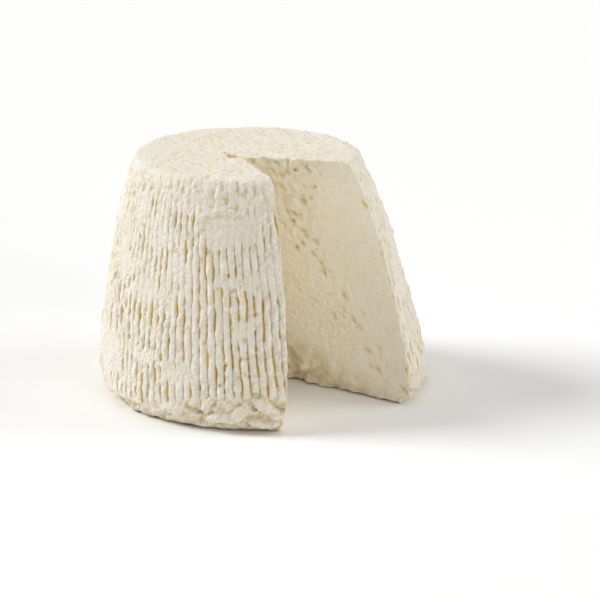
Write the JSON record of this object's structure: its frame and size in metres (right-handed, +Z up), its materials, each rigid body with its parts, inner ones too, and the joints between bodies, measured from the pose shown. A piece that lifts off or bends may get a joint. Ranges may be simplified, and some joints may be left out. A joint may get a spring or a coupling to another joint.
{
  "type": "cheese wheel",
  "caption": "Basket-moulded fresh cheese, a ribbed truncated cone with a rounded shoulder and a lumpy foot, with a wedge cut out of it to the middle.",
  "frame": {"origin": "on the resting plane, under the middle of the widest circle near the base", "axes": "+Z up, from the wide base to the narrow top; the wedge is missing between +X and -Y; +Y is towards the back"},
  "size_m": [0.1701, 0.17, 0.1245],
  "materials": {
    "cheese": "moist creamy-white fresh cheese, soft satin sheen, with yellowish whey-stained grooves between its moulded ribs; smoother, slightly warmer paste on the cut faces"
  },
  "bodies": {
    "root": {"cheese_wheel": "cheese"}
  },
  "joints": []
}
